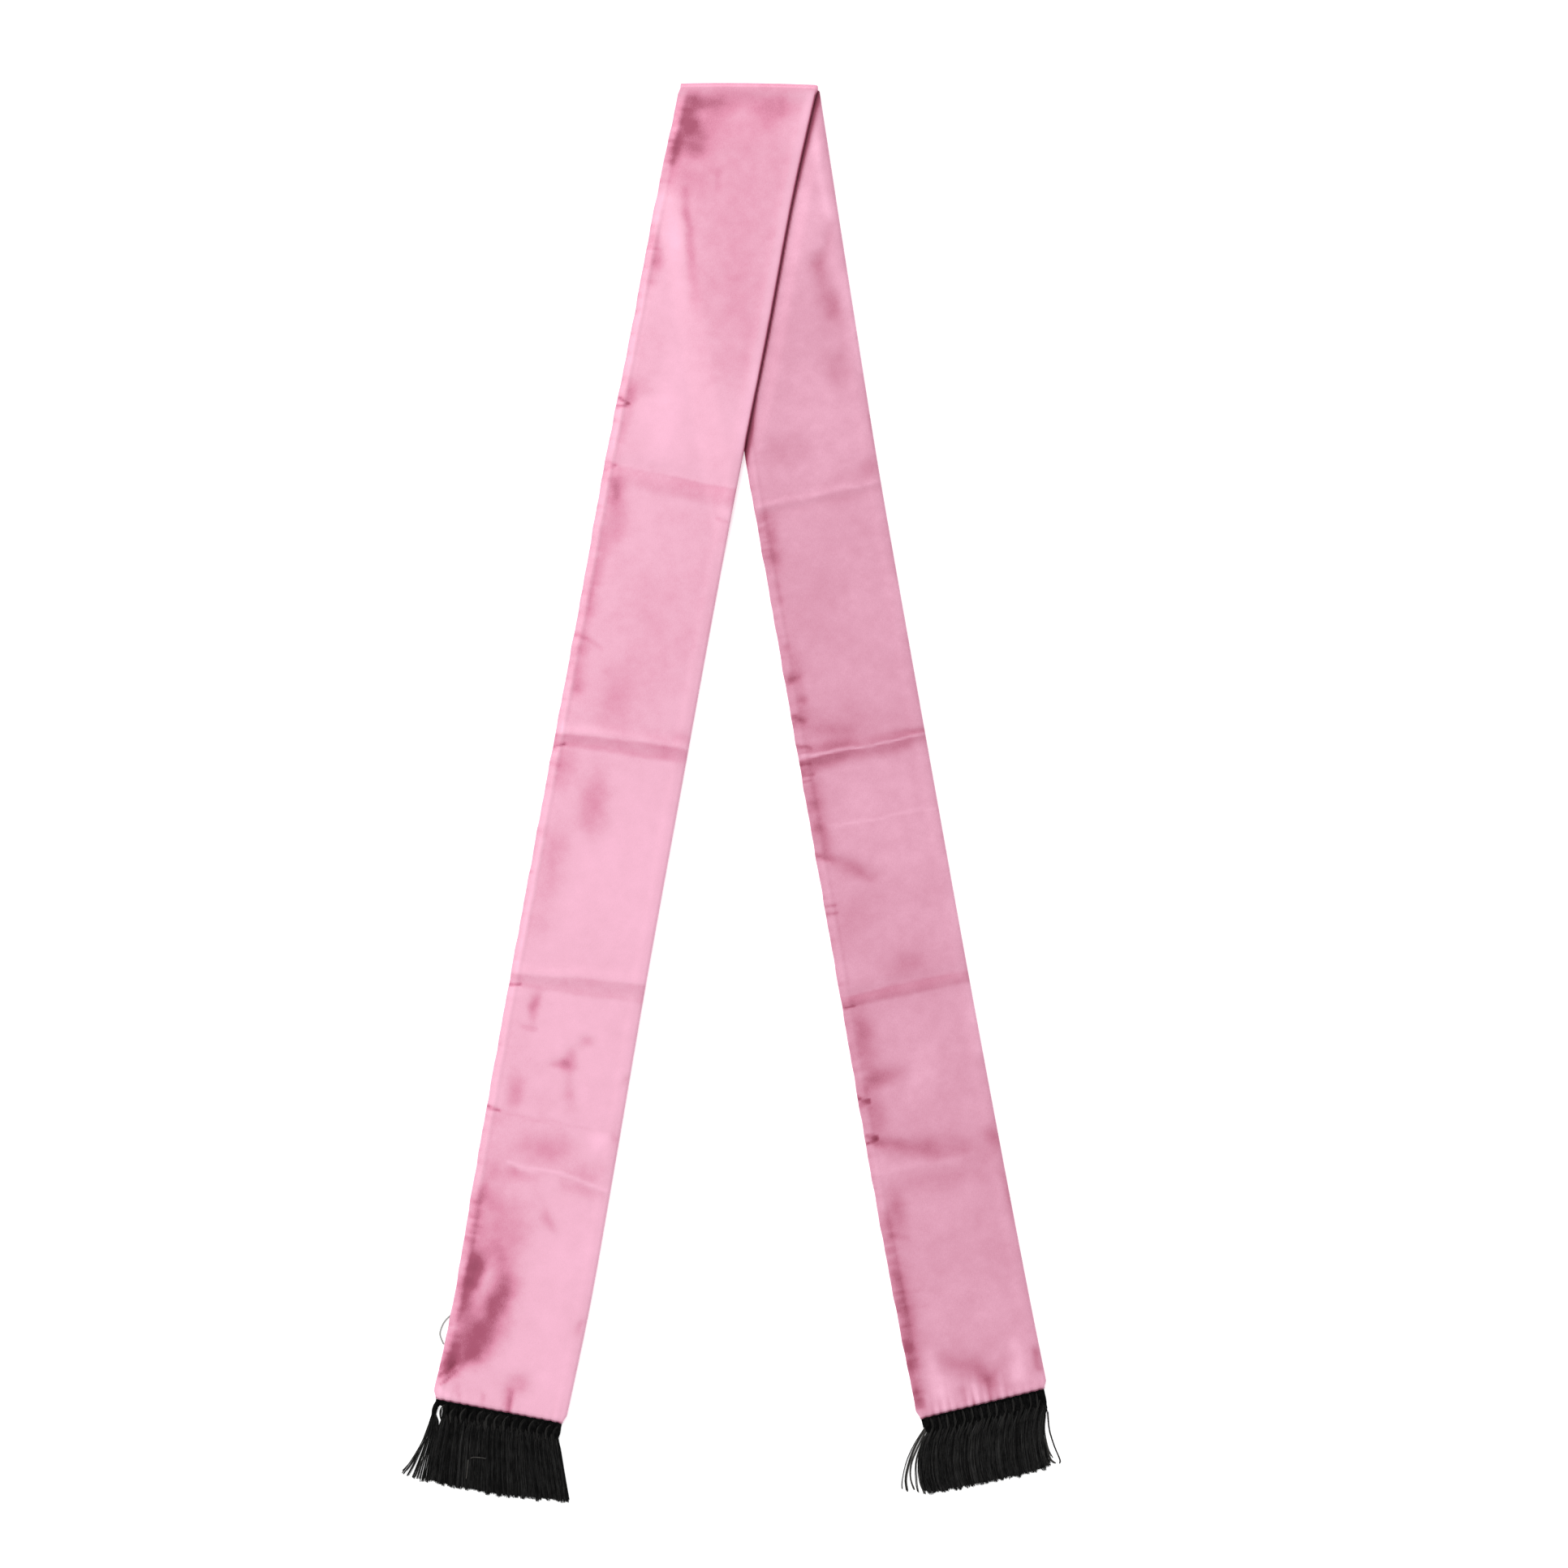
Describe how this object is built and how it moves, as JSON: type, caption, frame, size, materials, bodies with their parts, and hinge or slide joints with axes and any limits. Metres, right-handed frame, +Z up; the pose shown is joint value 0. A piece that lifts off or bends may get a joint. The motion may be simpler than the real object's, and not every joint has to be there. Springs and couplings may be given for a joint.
{
  "type": "neck scarf",
  "caption": "Long narrow satin neck scarf laid flat and bent over once at the neck, its front tail over its back tail, with a knotted black fringe at each hem.",
  "frame": {"origin": "middle of the laid scarf's footprint, on the surface that it lies on", "axes": "+Y from the hems up to the neck fold, +X from the front tail's hem to the back tail's hem, +Z up off the surface"},
  "size_m": [0.4058, 0.8759, 0.0062],
  "materials": {
    "satin": "satin",
    "fringe_thread": "satin"
  },
  "bodies": {
    "root": {"front_stretch": "satin", "back_stretch": "satin", "front_fringe": "fringe_thread", "back_fringe": "fringe_thread"}
  },
  "joints": []
}
